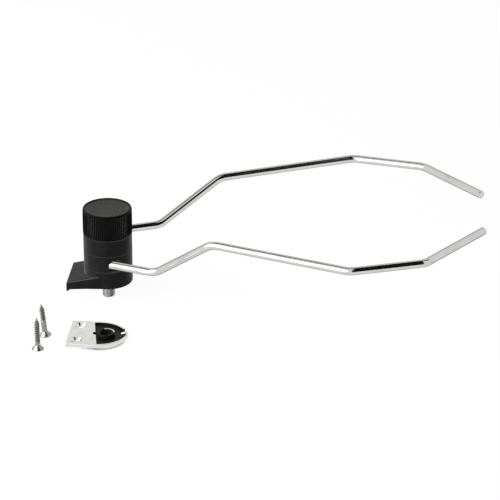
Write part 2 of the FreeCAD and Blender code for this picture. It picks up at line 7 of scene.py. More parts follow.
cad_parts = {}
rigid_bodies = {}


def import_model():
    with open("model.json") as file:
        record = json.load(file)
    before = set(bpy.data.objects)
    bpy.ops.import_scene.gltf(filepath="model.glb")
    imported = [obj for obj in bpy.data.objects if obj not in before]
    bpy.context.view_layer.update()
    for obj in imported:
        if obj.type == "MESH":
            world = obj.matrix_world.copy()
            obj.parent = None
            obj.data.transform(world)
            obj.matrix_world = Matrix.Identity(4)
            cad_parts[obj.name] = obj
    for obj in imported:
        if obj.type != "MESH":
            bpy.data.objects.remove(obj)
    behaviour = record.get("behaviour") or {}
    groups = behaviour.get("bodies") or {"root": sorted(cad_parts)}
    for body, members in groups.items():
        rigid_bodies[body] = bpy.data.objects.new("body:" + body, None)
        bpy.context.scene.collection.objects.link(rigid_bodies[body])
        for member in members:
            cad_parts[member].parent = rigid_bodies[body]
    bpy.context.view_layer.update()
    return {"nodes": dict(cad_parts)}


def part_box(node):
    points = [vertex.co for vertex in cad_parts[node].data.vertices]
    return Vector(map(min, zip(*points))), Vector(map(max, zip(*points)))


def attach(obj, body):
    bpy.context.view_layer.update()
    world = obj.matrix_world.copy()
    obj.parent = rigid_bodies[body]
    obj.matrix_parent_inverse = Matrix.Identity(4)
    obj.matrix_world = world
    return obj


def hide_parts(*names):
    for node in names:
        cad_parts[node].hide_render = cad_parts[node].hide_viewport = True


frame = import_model()
MM = 0.001

# ---------------------------------------------------------------------------------------------
# Studio: a long lens looks down on the holder from the front. Table and room are white, with a soft
# box at the left, a black cloth hung from the right up over the table, and a dark rail at the back.
# ---------------------------------------------------------------------------------------------
CAMERA_HEIGHT = math.radians(25)
CAMERA_HEADING = math.radians(5.5)
CAMERA_AWAY = 2.313
aim = Vector((0.1091, 0.0097, 0.0254))
turn = Matrix.Rotation(CAMERA_HEADING, 3, "Z") @ Matrix.Rotation(math.pi / 2 - CAMERA_HEIGHT, 3, "X")
lens = bpy.data.cameras.new("camera")
lens.sensor_width = 36
lens.lens = 216
camera = bpy.data.objects.new("camera", lens)
camera.rotation_euler = turn.to_euler()
camera.location = aim + turn @ Vector((0, 0, CAMERA_AWAY))
bpy.context.scene.collection.objects.link(camera)
bpy.context.scene.camera = camera
bpy.context.scene.view_settings.view_transform = "Standard"


def add_node(tree, kind, inputs=None, **settings):
    """Shader node with its settings, and its sockets set to values or joined to other sockets."""
    item = tree.nodes.new(kind)
    for name, value in settings.items():
        setattr(item, name, value)
    for name, value in (inputs or {}).items():
        if isinstance(value, bpy.types.NodeSocket):
            tree.links.new(value, item.inputs[name])
        else:
            item.inputs[name].default_value = value
    return item


def sums(tree, operation, *values):
    """Result of one Math node."""
    item = tree.nodes.new("ShaderNodeMath")
    item.operation = operation
    for place, value in enumerate(values):
        if isinstance(value, bpy.types.NodeSocket):
            tree.links.new(value, item.inputs[place])
        else:
            item.inputs[place].default_value = value
    return item.outputs[0]


def ramp(tree, value, low, high, start=0.0, end=1.0):
    """Smooth step of a value between two levels."""
    return add_node(tree, "ShaderNodeMapRange", {
        "Value": value, "From Min": low, "From Max": high, "To Min": start, "To Max": end,
    }, interpolation_type="SMOOTHSTEP").outputs["Result"]


world = bpy.data.worlds.new("studio")
bpy.context.scene.world = world
world.use_nodes = True


def white_to_see(tree, seen, unseen):
    """Strength of a white surround, as the lens, metal and glass see it and as other light does."""
    rays = add_node(tree, "ShaderNodeLightPath").outputs
    shown = sums(tree, "MAXIMUM", rays["Is Camera Ray"], sums(
        tree, "MAXIMUM", rays["Is Glossy Ray"], rays["Is Transmission Ray"]))
    return ramp(tree, shown, 0, 1, unseen, seen)


room = world.node_tree
room.links.new(white_to_see(room, 0.95, 0.15), room.nodes["Background"].inputs["Strength"])
room.nodes["Background"].inputs["Color"].default_value = (1, 1, 1, 1)


CARD_AWAY = 3.4


def card(name, shade, easts, turns, narrows=0.0):
    """Curved card round the table: shares of its distance along X, and degrees round X."""
    rows = []
    for place in range(13):
        row = []
        for step in range(25):
            east = easts[0] + (easts[1] - easts[0] - narrows * (step / 24) ** 2) * place / 12
            reach = math.sqrt(1 - east ** 2)
            rise = math.radians(turns[0] + (turns[1] - turns[0]) * step / 24)
            outward = Vector((east, -reach * math.cos(rise), reach * math.sin(rise)))
            row.append(Vector((aim.x, 0, 0)) + CARD_AWAY * outward)
        rows.append(row)
    faces = [
        (place * 25 + step, place * 25 + step + 1, (place + 1) * 25 + step + 1, (place + 1) * 25 + step)
        for place in range(12) for step in range(24)]
    mesh = bpy.data.meshes.new(name)
    mesh.from_pydata([point for row in rows for point in row], [], faces)
    item = bpy.data.objects.new(name, mesh)
    bpy.context.scene.collection.objects.link(item)
    cloth = bpy.data.materials.new(name)
    cloth.use_nodes = True
    cloth.node_tree.nodes["Principled BSDF"].inputs["Base Color"].default_value = (shade, shade, shade, 1)
    cloth.node_tree.nodes["Principled BSDF"].inputs["Roughness"].default_value = 1
    mesh.materials.append(cloth)
    item.visible_camera = False


card("black_cloth", 0.01, (0.17, 0.78), (0.3, 98), narrows=0.44)
card("dark_rail", 0.06, (-0.6, 0.6), (98, 120))

floor_height = min(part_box("deck_screws")[0].z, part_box("deck_plate")[0].z)
floor_mesh = bpy.data.meshes.new("floor")
floor_mesh.from_pydata([
    (-4, -4, floor_height), (4, -4, floor_height), (4, 4, floor_height), (-4, 4, floor_height),
], [], [(0, 1, 2, 3)])
floor = bpy.data.objects.new("floor", floor_mesh)
bpy.context.scene.collection.objects.link(floor)
paper = bpy.data.materials.new("white_sweep")
paper.use_nodes = True
sweep = paper.node_tree
sweep.nodes.clear()
# The floor's glow is dimmed where ambient occlusion finds parts close by: a painted contact shadow under
# and around them.
under = add_node(sweep, "ShaderNodeAmbientOcclusion", {"Distance": 0.006}).outputs["AO"]
lit = add_node(sweep, "ShaderNodeBsdfDiffuse", {"Color": (0.15, 0.15, 0.15, 1)})
glow = add_node(sweep, "ShaderNodeEmission", {
    "Color": (1, 1, 1, 1),
    "Strength": sums(sweep, "MULTIPLY", white_to_see(sweep, 0.94, 0), ramp(sweep, under, 0.02, 0.4))})
both = add_node(sweep, "ShaderNodeAddShader")
sweep.links.new(lit.outputs[0], both.inputs[0])
sweep.links.new(glow.outputs[0], both.inputs[1])
sweep.links.new(both.outputs[0], add_node(sweep, "ShaderNodeOutputMaterial").inputs["Surface"])
floor_mesh.materials.append(paper)

soft_box = bpy.data.objects.new("soft_box", bpy.data.lights.new("soft_box", "AREA"))
soft_box.data.shape = "RECTANGLE"
soft_box.data.size = 2.4
soft_box.data.size_y = 1.6
soft_box.data.energy = 36
soft_box.location = (-1.1, -0.9, 0.6)
soft_box.rotation_euler = (aim - soft_box.location).to_track_quat("-Z", "Y").to_euler()
bpy.context.scene.collection.objects.link(soft_box)

# ---------------------------------------------------------------------------------------------
# Foot: glass-filled nylon moulding in black, a round base with a sloping tail that ends in a hook.
# Its corners are rounded by the mould and its faces have a fine spark-eroded grain. The tail's top
# front edge is coloured lighter grey: a painted highlight.
# ---------------------------------------------------------------------------------------------


def new_object(name, bm, smooth_angle=30):
    """Object from a finished bmesh, with outward normals and smooth shading between sharp edges."""
    bmesh.ops.recalc_face_normals(bm, faces=bm.faces)
    mesh = bpy.data.meshes.new(name)
    bm.to_mesh(mesh)
    bm.free()
    mesh.shade_smooth()
    mesh.set_sharp_from_angle(angle=math.radians(smooth_angle))
    item = bpy.data.objects.new(name, mesh)
    bpy.context.scene.collection.objects.link(item)
    return item


def eased(corners, parts=5):
    """Profile whose corners, given as radius, height and ease, are each rounded by that much."""
    line = []
    for place, (radius, height, ease) in enumerate(corners):
        here = Vector((radius, height))
        if not ease:
            line.append((radius, height))
            continue
        before = Vector(corners[place - 1][:2]) - here
        after = Vector(corners[(place + 1) % len(corners)][:2]) - here
        first = here + before.normalized() * ease
        last = here + after.normalized() * ease
        for part in range(parts):
            share = part / (parts - 1)
            spot = first * (1 - share) ** 2 + here * 2 * share * (1 - share) + last * share ** 2
            line.append(tuple(spot))
    return line


def turned(name, rows, steps, wave=None, smooth_angle=30):
    """Solid turned about Z from a closed profile in millimetres.

    A row is radius, height and, where the wall is cut by a wave, the share of the wave's depth there.
    """
    bm = bmesh.new()
    rings = []
    for row in rows:
        radius, height = row[:2]
        if radius == 0:
            rings.append([bm.verts.new((0, 0, height * MM))])
            continue
        ring = []
        for step in range(steps):
            angle = 2 * math.pi * step / steps
            reach = radius - (row[2] * wave(angle, height) if len(row) > 2 else 0)
            east = reach * math.cos(angle) * MM
            north = reach * math.sin(angle) * MM
            ring.append(bm.verts.new((east, north, height * MM)))
        rings.append(ring)
    for lower, upper in zip(rings, rings[1:] + rings[:1]):
        for step in range(steps):
            after = (step + 1) % steps
            corners = []
            for ring, place in ((lower, step), (lower, after), (upper, after), (upper, step)):
                corner = ring[place % len(ring)]
                if corner not in corners:
                    corners.append(corner)
            if len(corners) > 2:
                bm.faces.new(corners)
    return new_object(name, bm, smooth_angle)


def prism(name, outline, low, high, axis="Y", ease=0.0):
    """Bar with a straight-sided outline in millimetres, extruded along Y or Z, with its edges rounded."""
    bm = bmesh.new()
    ends = []
    for place in (low, high):
        if axis == "Y":
            ends.append([bm.verts.new((a * MM, place * MM, b * MM)) for a, b in outline])
        else:
            ends.append([bm.verts.new((a * MM, b * MM, place * MM)) for a, b in outline])
    bm.faces.new(ends[0])
    bm.faces.new(ends[1])
    for here, after in zip(range(len(outline)), list(range(1, len(outline))) + [0]):
        bm.faces.new((ends[0][here], ends[0][after], ends[1][after], ends[1][here]))
    if ease:
        bmesh.ops.bevel(bm, geom=bm.edges[:], offset=ease * MM, segments=3, profile=0.5,
                        affect="EDGES", material=-1, clamp_overlap=True)
    return new_object(name, bm)


def carve(item, tool, operation, smooth_angle=30):
    """Adds a tool to a solid or cuts it away, and removes the tool."""
    step = item.modifiers.new("carve", "BOOLEAN")
    step.object = tool
    step.operation = operation
    step.solver = "EXACT"
    bpy.context.view_layer.update()
    mesh = bpy.data.meshes.new_from_object(item.evaluated_get(bpy.context.evaluated_depsgraph_get()))
    item.modifiers.clear()
    bm = bmesh.new()
    bm.from_mesh(mesh)
    bmesh.ops.remove_doubles(bm, verts=bm.verts, dist=0.000001)
    bm.to_mesh(mesh)
    bm.free()
    mesh.shade_smooth()
    mesh.set_sharp_from_angle(angle=math.radians(smooth_angle))
    mesh.name = item.name
    item.data = mesh
    bpy.data.objects.remove(tool)


def soften(item, width):
    """Rounds the sharp edges of a finished solid."""
    step = item.modifiers.new("soft_edges", "BEVEL")
    step.width = width * MM
    step.segments = 2
    step.limit_method = "ANGLE"
    step.angle_limit = math.radians(35)
    step.use_clamp_overlap = True
    item.modifiers.new("flat_faces", "WEIGHTED_NORMAL").keep_sharp = True


def surface(name, color, roughness, metallic=0.0):
    """Material with one principled shader, and that shader's tree."""
    material = bpy.data.materials.new(name)
    material.use_nodes = True
    tree = material.node_tree
    shader = tree.nodes["Principled BSDF"]
    shader.inputs["Base Color"].default_value = (*color, 1)
    shader.inputs["Roughness"].default_value = roughness
    shader.inputs["Metallic"].default_value = metallic
    material.diffuse_color = (*color, 1)
    return material, tree, shader


def moulded(name, dark, light, roughness, grain, relief, shine=0.15):
    """Moulded plastic: faint mottling, a fine eroded grain and slightly polished patches."""
    material, tree, shader = surface(name, dark, roughness)
    shader.inputs["Specular IOR Level"].default_value = shine
    place = add_node(tree, "ShaderNodeTexCoord").outputs["Object"]
    cloud = add_node(tree, "ShaderNodeTexNoise", {
        "Vector": place, "Scale": 90, "Detail": 4, "Roughness": 0.6})
    fine = add_node(tree, "ShaderNodeTexNoise", {
        "Vector": place, "Scale": grain, "Detail": 2, "Roughness": 0.7})
    shade = sums(tree, "ADD", sums(tree, "MULTIPLY", cloud.outputs["Fac"], 0.7),
                 sums(tree, "MULTIPLY", fine.outputs["Fac"], 0.3))
    color = add_node(tree, "ShaderNodeMix", {
        "Factor": ramp(tree, shade, 0.3, 0.7), 6: (*dark, 1), 7: (*light, 1)}, data_type="RGBA")
    tree.links.new(color.outputs[2], shader.inputs["Base Color"])
    tree.links.new(ramp(tree, cloud.outputs["Fac"], 0.3, 0.7, roughness - 0.06, roughness + 0.08),
                   shader.inputs["Roughness"])
    bump = add_node(tree, "ShaderNodeBump", {
        "Height": fine.outputs["Fac"], "Strength": relief, "Distance": 0.00006})
    tree.links.new(bump.outputs["Normal"], shader.inputs["Normal"])
    return material


def dress(item, material, slot, body, *nodes):
    """Gives a finished piece its material, its body and the nodes that it stands for."""
    item.data.materials.clear()
    item.data.materials.append(material)
    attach(item, body)
    if nodes:
        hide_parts(*nodes)


BODY = 18.8
FOOT_TOP = 13.8
DISC_SEAT = 15.3
nylon = moulded("black_nylon", (0.010, 0.010, 0.0098), (0.020, 0.020, 0.0195), 0.38, 2600, 0.4, 0.1)
foot = turned("foot", eased([
    (0, 0, 0), (BODY, 0, 1.0), (BODY, FOOT_TOP, 0.15), (0, FOOT_TOP, 0)]), 160)
tail = prism("tail", [
    (-30.4, -2.8), (-28.4, -2.8), (-28.4, 0), (-2, 0), (-2, 10.2), (-6, 10.2), (-30.4, 4.5)],
    -BODY, BODY, ease=0.9)
carve(foot, tail, "UNION")
carve(foot, turned("foot_hollow", [
    (0, -1), (9.6, -1), (9.6, 4.8), (5.2, 4.8), (5.2, 6.0),
    (6.72, 6.0), (6.72, 13.0), (DISC_SEAT, 13.0), (DISC_SEAT, 15), (0, 15),
], 96), "DIFFERENCE")
soften(foot, 0.12)
dress(foot, nylon, "black_nylon", "root", "base_foot")
# Painted highlight: the tail's rounded top front edge is coloured lighter grey, where light catches it.
edge_highlight = moulded("painted_edge_highlight", (0.09, 0.088, 0.078), (0.15, 0.147, 0.13), 0.34, 2600, 0.3)
foot.data.materials.append(edge_highlight)
for face in foot.data.polygons:
    along_edge = face.normal.y < -0.3 and face.normal.z > 0.3
    if along_edge and face.center.y < (1.2 - BODY) * MM and face.center.x < -5 * MM:
        face.material_index = 1

# ---------------------------------------------------------------------------------------------
# Pivot, discs and washers: a turned stainless sleeve stands in the foot, with dark rubber-bonded
# friction discs between the rings. Stamped washers and a spring clip hold the bolt, and each ring
# has a moulded cap that closes its groove.
# ---------------------------------------------------------------------------------------------


def plain_metal(name, tint, roughness, scale, relief):
    """Machined or drawn metal: fine scratches, faint stains and an uneven shine."""
    material, tree, shader = surface(name, tint, roughness, 1.0)
    place = add_node(tree, "ShaderNodeTexCoord").outputs["Object"]
    cloud = add_node(tree, "ShaderNodeTexNoise", {
        "Vector": place, "Scale": 160, "Detail": 5, "Roughness": 0.6})
    drawn = add_node(tree, "ShaderNodeMapping", {"Vector": place, "Scale": scale})
    lines = add_node(tree, "ShaderNodeTexNoise", {
        "Vector": drawn.outputs[0], "Scale": 1, "Detail": 3, "Roughness": 0.65})
    dull = tuple(channel * 0.82 for channel in tint)
    color = add_node(tree, "ShaderNodeMix", {
        "Factor": ramp(tree, cloud.outputs["Fac"], 0.35, 0.75), 6: (*tint, 1), 7: (*dull, 1),
    }, data_type="RGBA")
    tree.links.new(color.outputs[2], shader.inputs["Base Color"])
    tree.links.new(ramp(tree, lines.outputs["Fac"], 0.3, 0.75, roughness * 0.75, roughness * 1.4),
                   shader.inputs["Roughness"])
    bump = add_node(tree, "ShaderNodeBump", {
        "Height": lines.outputs["Fac"], "Strength": relief, "Distance": 0.00003})
    tree.links.new(bump.outputs["Normal"], shader.inputs["Normal"])
    return material


steel = plain_metal("plain_steel", (0.62, 0.61, 0.58), 0.26, (300, 300, 9000), 0.35)
rubber = moulded("friction_rubber", (0.012, 0.012, 0.012), (0.03, 0.029, 0.028), 0.75, 5200, 0.8)
for name in ("pivot_sleeve", "thrust_washer", "disc_spring", "clip_washer", "retaining_clip"):
    frame["nodes"][name].data.materials.clear()
    frame["nodes"][name].data.materials.append(steel)
for name in ("lower_friction_disc", "middle_friction_disc", "upper_friction_disc"):
    frame["nodes"][name].data.materials.clear()
    frame["nodes"][name].data.materials.append(rubber)
for name in ("lower_ring_cap", "upper_ring_cap"):
    frame["nodes"][name].data.materials.clear()
    frame["nodes"][name].data.materials.append(nylon)

# ---------------------------------------------------------------------------------------------
# Rings: two black nylon mouldings, alike, that turn on the sleeve. Each is grooved from below for
# its bar's eye, and the bar comes out through a flared mouth in the wall.
# ---------------------------------------------------------------------------------------------
EYE = 13.65
WIRE = 3.0
GROOVE = WIRE + 0.2
MOUTH = 3.1
FLARE = 3.6
SLEEVE_BORE = 6.75
RING_TALL = 12.7
LOWER_BASE = 14.2
LOWER_WIRE = 19.8
UPPER_BASE = 27.3
UPPER_WIRE = 34.4
FORK_HEADING = math.radians(3)
FIRST_BEND = (38.2, 28.6)
LEAVE = math.atan2(FIRST_BEND[1], FIRST_BEND[0]) + math.acos(EYE / math.hypot(*FIRST_BEND))


def ring(name, base, wire, side):
    """One ring, with the mouth for a bar that leaves it on side -1 (front) or 1 (back)."""
    item = turned(name, eased([
        (SLEEVE_BORE, wire - GROOVE, 0), (EYE - GROOVE, wire - GROOVE, 0), (EYE - GROOVE, wire + GROOVE, 0),
        (EYE + GROOVE, wire + GROOVE, 0), (EYE + GROOVE, base, 0), (BODY, base, 0.15),
        (BODY, base + RING_TALL, 0.15), (DISC_SEAT, base + RING_TALL, 0.1),
        (DISC_SEAT, base + RING_TALL - 0.8, 0), (SLEEVE_BORE, base + RING_TALL - 0.8, 0)]), 160)
    start = Vector((EYE * math.cos(LEAVE), side * EYE * math.sin(LEAVE), wire))
    heading = side * (LEAVE - math.pi / 2)
    lay = (Matrix.Translation(start * MM) @ Matrix.Rotation(heading, 4, "Z")
           @ Matrix.Rotation(math.pi / 2, 4, "Y"))
    mouth = math.sqrt(BODY ** 2 - EYE ** 2)
    tool = turned(name + "_mouth", [
        (0, 0), (MOUTH, 0), (MOUTH, mouth - 3), (FLARE, mouth + 0.5), (FLARE, 26), (0, 26)], 48)
    tool.data.transform(Matrix.Diagonal((1.25, 1, 1, 1)))
    tool.data.transform(lay)
    slot = prism(name + "_slot", [(0, -MOUTH), (26, -MOUTH), (26, MOUTH), (0, MOUTH)],
                 base - wire - 0.5, 0, axis="Z")
    slot.data.transform(Matrix.Translation(start * MM) @ Matrix.Rotation(heading, 4, "Z"))
    for cutter in (tool, slot):
        cutter.data.transform(Matrix.Rotation(FORK_HEADING, 4, "Z"))
        carve(item, cutter, "DIFFERENCE")
    soften(item, 0.1)
    return item


ring_low = ring("ring_low", LOWER_BASE, LOWER_WIRE, -1)
ring_high = ring("ring_high", UPPER_BASE, UPPER_WIRE, 1)
dress(ring_low, nylon, "black_nylon", "lower_arm", "lower_ring")
dress(ring_high, nylon, "black_nylon", "upper_arm", "upper_ring")

# ---------------------------------------------------------------------------------------------
# Arms: 6 mm stainless bar, drawn, bent cold on a former and mirror polished. The eye is wound
# round the pivot inside its ring, and the tip is cut square and deburred.
# ---------------------------------------------------------------------------------------------


def bent_line(start, corners, radii, sweep=3):
    """Points along straight runs that turn each corner on an arc, in millimetres."""
    line = []
    here = start
    for place, radius in enumerate(radii):
        before = (corners[place] - here).normalized()
        after = (corners[place + 1] - corners[place]).normalized()
        half = before.angle(after) / 2
        shorter = min((corners[place] - here).length, (corners[place + 1] - corners[place]).length)
        cut = min(radius * math.tan(half), 0.45 * shorter)
        radius = cut / math.tan(half)
        first = corners[place] - before * cut
        centre = corners[place] + (after - before).normalized() * (radius / math.cos(half))
        axis = before.cross(after).normalized()
        count = max(6, round(math.degrees(2 * half) / sweep))
        gap = (first - here).length
        for step in range(max(2, round(gap / 12))):
            line.append(here.lerp(first, step / max(2, round(gap / 12))))
        for step in range(count):
            line.append(centre + Matrix.Rotation(2 * half * step / count, 3, axis) @ (first - centre))
        here = corners[place] + after * cut
    last = corners[-1]
    count = max(2, round((last - here).length / 12))
    for step in range(count + 1):
        line.append(here.lerp(last, step / count))
    return line


def round_bar(name, line, radius, around=40, ease=0.45):
    """Round bar along a line of points, with deburred ends and its own lengthwise UV map."""
    bm = bmesh.new()
    chart = bm.loops.layers.uv.new("bar")
    first = (line[1] - line[0]).normalized()
    last = (line[-1] - line[-2]).normalized()
    centres = [line[0]] + [line[0] + first * ease] + line[1:-1] + [line[-1] - last * ease, line[-1]]
    reaches = [radius - ease] + [radius] * (len(centres) - 2) + [radius - ease]
    side = first.cross(Vector((0, 0, 1))).normalized()
    rings = []
    travelled = []
    run = 0
    for place, centre in enumerate(centres):
        ahead = centres[min(place + 1, len(centres) - 1)]
        behind = centres[max(place - 1, 0)]
        along = (ahead - behind).normalized()
        if place:
            run += (centre - behind).length
        travelled.append(run)
        side = (side - along * side.dot(along)).normalized()
        other = along.cross(side)
        reach = reaches[place]
        rings.append([
            bm.verts.new((centre + side * math.cos(angle) * reach + other * math.sin(angle) * reach) * MM)
            for angle in (2 * math.pi * step / around for step in range(around))])
    for place in range(len(rings) - 1):
        for step in range(around):
            after = (step + 1) % around
            face = bm.faces.new((
                rings[place][step], rings[place][after], rings[place + 1][after], rings[place + 1][step]))
            spots = ((step, place), (step + 1, place), (step + 1, place + 1), (step, place + 1))
            for loop, (turned_by, along_by) in zip(face.loops, spots):
                loop[chart].uv = (turned_by / around, travelled[along_by] * MM)
    for ring_verts, centre, out in ((rings[0], centres[0], -1), (rings[-1], centres[-1], 1)):
        tip = bm.verts.new(centre * MM)
        for step in range(around):
            bm.faces.new((ring_verts[step], ring_verts[(step + 1) % around], tip))
    return new_object(name, bm, 40)


def bar_metal():
    """Polished bar: lengthwise drawing lines under the polish, with faint rub marks."""
    material, tree, shader = surface("polished_wire", (0.62, 0.615, 0.60), 0.09, 1.0)
    shader.inputs["Specular Tint"].default_value = (0.2, 0.2, 0.2, 1)
    chart = add_node(tree, "ShaderNodeUVMap", uv_map="bar").outputs["UV"]
    stretched = add_node(tree, "ShaderNodeMapping", {"Vector": chart, "Scale": (70, 14, 1)})
    lines = add_node(tree, "ShaderNodeTexNoise", {
        "Vector": stretched.outputs[0], "Scale": 1, "Detail": 4, "Roughness": 0.6})
    place = add_node(tree, "ShaderNodeTexCoord").outputs["Object"]
    cloud = add_node(tree, "ShaderNodeTexNoise", {
        "Vector": place, "Scale": 60, "Detail": 4, "Roughness": 0.6})
    color = add_node(tree, "ShaderNodeMix", {
        "Factor": ramp(tree, cloud.outputs["Fac"], 0.4, 0.8),
        6: (0.65, 0.645, 0.63, 1), 7: (0.56, 0.55, 0.53, 1),
    }, data_type="RGBA")
    tree.links.new(color.outputs[2], shader.inputs["Base Color"])
    mixed = sums(tree, "ADD", sums(tree, "MULTIPLY", lines.outputs["Fac"], 0.6),
                 sums(tree, "MULTIPLY", cloud.outputs["Fac"], 0.4))
    tree.links.new(ramp(tree, mixed, 0.35, 0.7, 0.06, 0.17), shader.inputs["Roughness"])
    bump = add_node(tree, "ShaderNodeBump", {
        "Height": lines.outputs["Fac"], "Strength": 0.12, "Distance": 0.00002})
    tree.links.new(bump.outputs["Normal"], shader.inputs["Normal"])
    return material


CRADLE = 60.2
EYE_WRAP = math.radians(240)
EYE_STEPS = 80


def arm(name, height, side):
    """One arm, on side -1 (front) or 1 (back)."""
    corners = [
        Vector((FIRST_BEND[0], side * FIRST_BEND[1], height)), Vector((83.5, side * 62.8, CRADLE)),
        Vector((187.3, side * 105.0, CRADLE)), Vector((242.7, side * 89.6, CRADLE + 0.7)),
        Vector((287.2, side * 33.1, CRADLE + 2.1))]
    eye_line = []
    for step in range(EYE_STEPS):
        angle = side * (LEAVE + EYE_WRAP * (1 - step / EYE_STEPS))
        eye_line.append(Vector((EYE * math.cos(angle), EYE * math.sin(angle), height)))
    start = Vector((EYE * math.cos(LEAVE), side * EYE * math.sin(LEAVE), height))
    line = eye_line + bent_line(start, corners, (18, 18, 12, 12))
    item = round_bar(name, line, WIRE)
    item.data.transform(Matrix.Rotation(FORK_HEADING, 4, "Z"))
    return item


bar = bar_metal()
dress(arm("arm_front", LOWER_WIRE, -1), bar, "polished_wire", "lower_arm", "lower_arm")
dress(arm("arm_back", UPPER_WIRE, 1), bar, "polished_wire", "upper_arm", "upper_arm")

# ---------------------------------------------------------------------------------------------
# Clamp bolt: plain stainless, with a hexagon head sunk in the knob. Its lower end is the stud,
# threaded M10 and chamfered, that screws into the deck plate.
# ---------------------------------------------------------------------------------------------
PITCH = 1.5
THREAD_DEPTH = 0.85


def machine_thread(angle, height):
    """Depth below the crest of a right-hand machine thread."""
    phase = (height / PITCH - angle / (2 * math.pi)) % 1
    return THREAD_DEPTH * min(1, max(0, (1 - abs(2 * phase - 1)) * 1.3 - 0.12))


bolt_low, bolt_high = (corner.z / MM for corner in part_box("clamp_bolt"))
HEAD_BASE = bolt_high - 6.4
stud = [(0, bolt_low), (4.1, bolt_low), (4.35, bolt_low + 0.1, 0), (4.9, bolt_low + 0.6, 0.7)]
height = bolt_low + 0.7
while height < 1.6:
    stud.append((5.0, height, 1))
    height += PITCH / 12
stud += [
    (5.0, 2.0, 0), (5.0, 2.6), (4.2, 2.6), (4.2, 3.6), (5.0, 3.6), (5.0, HEAD_BASE + 0.5),
    (0, HEAD_BASE + 0.5)]
bolt = turned("bolt", stud, 64, machine_thread, 40)
CORNER = 8 / math.cos(math.radians(30))
head = prism("bolt_head", [
    (CORNER * math.cos(math.radians(60 * step)), CORNER * math.sin(math.radians(60 * step)))
    for step in range(6)], HEAD_BASE, bolt_high, axis="Z", ease=0.3)
carve(bolt, head, "UNION", 40)
# Painted shade: the bolt's stainless is coloured darker than the plain steel.
bolt_steel = plain_metal("bolt_steel", (0.36, 0.35, 0.315), 0.18, (500, 500, 2500), 0.3)
dress(bolt, bolt_steel, "plain_steel", "knob", "clamp_bolt")

# ---------------------------------------------------------------------------------------------
# Knob: black nylon moulding with 72 fine grip ribs between two plain bands, and a thin raised rim.
# A flat cover with a faint crossed grain is pressed in to hide the bolt's head.
# ---------------------------------------------------------------------------------------------
RIBS = 72
KNOB = 19.0
knob_low, knob_high = (corner.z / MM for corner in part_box("knob_shell"))


def rib_valley(angle, height):
    """Depth of the valleys between the grip ribs."""
    share = 0.5 - 0.5 * math.cos(RIBS * angle)
    return 0.5 * share ** 0.7


shell_rows = [
    (5.2, knob_low + 2.6), (15.9, knob_low + 2.6), (15.9, knob_low), (18.2, knob_low),
    (18.55, knob_low + 0.15), (18.75, knob_low + 0.6, 0), (KNOB, knob_low + 1.0, 0.7),
    (KNOB, knob_low + 1.4, 1), (KNOB, knob_low + 6, 1), (KNOB, knob_high - 6, 1),
    (KNOB, knob_high - 1.9, 1), (KNOB, knob_high - 1.5, 0.7), (18.8, knob_high - 1.1, 0),
    (18.75, knob_high - 0.5), (18.6, knob_high - 0.18), (18.3, knob_high), (17.3, knob_high),
    (17.05, knob_high - 0.12), (16.9, knob_high - 0.4), (16.9, knob_high - 2.4), (9.3, knob_high - 2.4),
    (9.3, knob_low + 7.6), (5.2, knob_low + 7.6)]
knob = turned("knob", shell_rows, RIBS * 8, rib_valley, 40)
# Painted shade: the knob's nylon is coloured darker than the nylon of the rings and foot.
knob_plastic = moulded(
    "knob_plastic", (0.003, 0.003, 0.003), (0.006, 0.006, 0.0058), 0.36, 2600, 0.35, 0.04)
dress(knob, knob_plastic, "knob_plastic", "knob", "knob_shell")

cover = turned("cover", eased([
    (0, knob_high - 2.4, 0), (16.8, knob_high - 2.4, 0), (16.8, knob_high - 0.4, 0.4),
    (16.0, knob_high - 0.4, 0.15), (15.7, knob_high - 0.7, 0.15), (0, knob_high - 0.7, 0)]), 128)
lid, lid_tree, lid_shader = surface("knob_cover", (0.02, 0.02, 0.018), 0.42)
lid_shader.inputs["Specular IOR Level"].default_value = 0.15
lid_place = add_node(lid_tree, "ShaderNodeTexCoord").outputs["Object"]
hatches = []
for slant in (45, -45):
    turned_place = add_node(lid_tree, "ShaderNodeMapping", {
        "Vector": lid_place, "Rotation": (0, 0, math.radians(slant))})
    hatches.append(add_node(lid_tree, "ShaderNodeTexWave", {
        "Vector": turned_place.outputs[0], "Scale": 140, "Distortion": 0.3, "Detail": 1}).outputs["Fac"])
lid_grain = add_node(lid_tree, "ShaderNodeTexNoise", {"Vector": lid_place, "Scale": 2200, "Detail": 2})
lid_height = sums(lid_tree, "ADD", sums(lid_tree, "MAXIMUM", *hatches),
                  sums(lid_tree, "MULTIPLY", lid_grain.outputs["Fac"], 0.5))
lid_color = add_node(lid_tree, "ShaderNodeMix", {
    "Factor": ramp(lid_tree, lid_height, 0.5, 1.3),
    6: (0.008, 0.008, 0.007, 1), 7: (0.05, 0.05, 0.043, 1),
}, data_type="RGBA")
lid_tree.links.new(lid_color.outputs[2], lid_shader.inputs["Base Color"])
lid_tree.links.new(ramp(lid_tree, lid_height, 0.4, 1.4, 0.36, 0.5), lid_shader.inputs["Roughness"])
lid_bump = add_node(lid_tree, "ShaderNodeBump", {
    "Height": lid_height, "Strength": 0.8, "Distance": 0.00012})
lid_tree.links.new(lid_bump.outputs["Normal"], lid_shader.inputs["Normal"])
dress(cover, lid, "knob_cover", "knob", "knob_cover")

# ---------------------------------------------------------------------------------------------
# Deck plate: investment-cast stainless, ground and mirror polished, with a lipped recess in its
# pointed nose that is coloured near-black. A threaded bush, also coloured near-black, is pressed
# through it for the stud, with a painted highlight: one side of its rim is coloured bright.
# ---------------------------------------------------------------------------------------------


def from_node(name, node):
    """Copy of a node's mesh with its corners joined, ready for finer work."""
    bm = bmesh.new()
    bm.from_mesh(frame["nodes"][node].data)
    bmesh.ops.remove_doubles(bm, verts=bm.verts, dist=0.000002)
    bmesh.ops.dissolve_limit(bm, angle_limit=math.radians(0.5), verts=bm.verts, edges=bm.edges)
    return new_object(name, bm, 30)


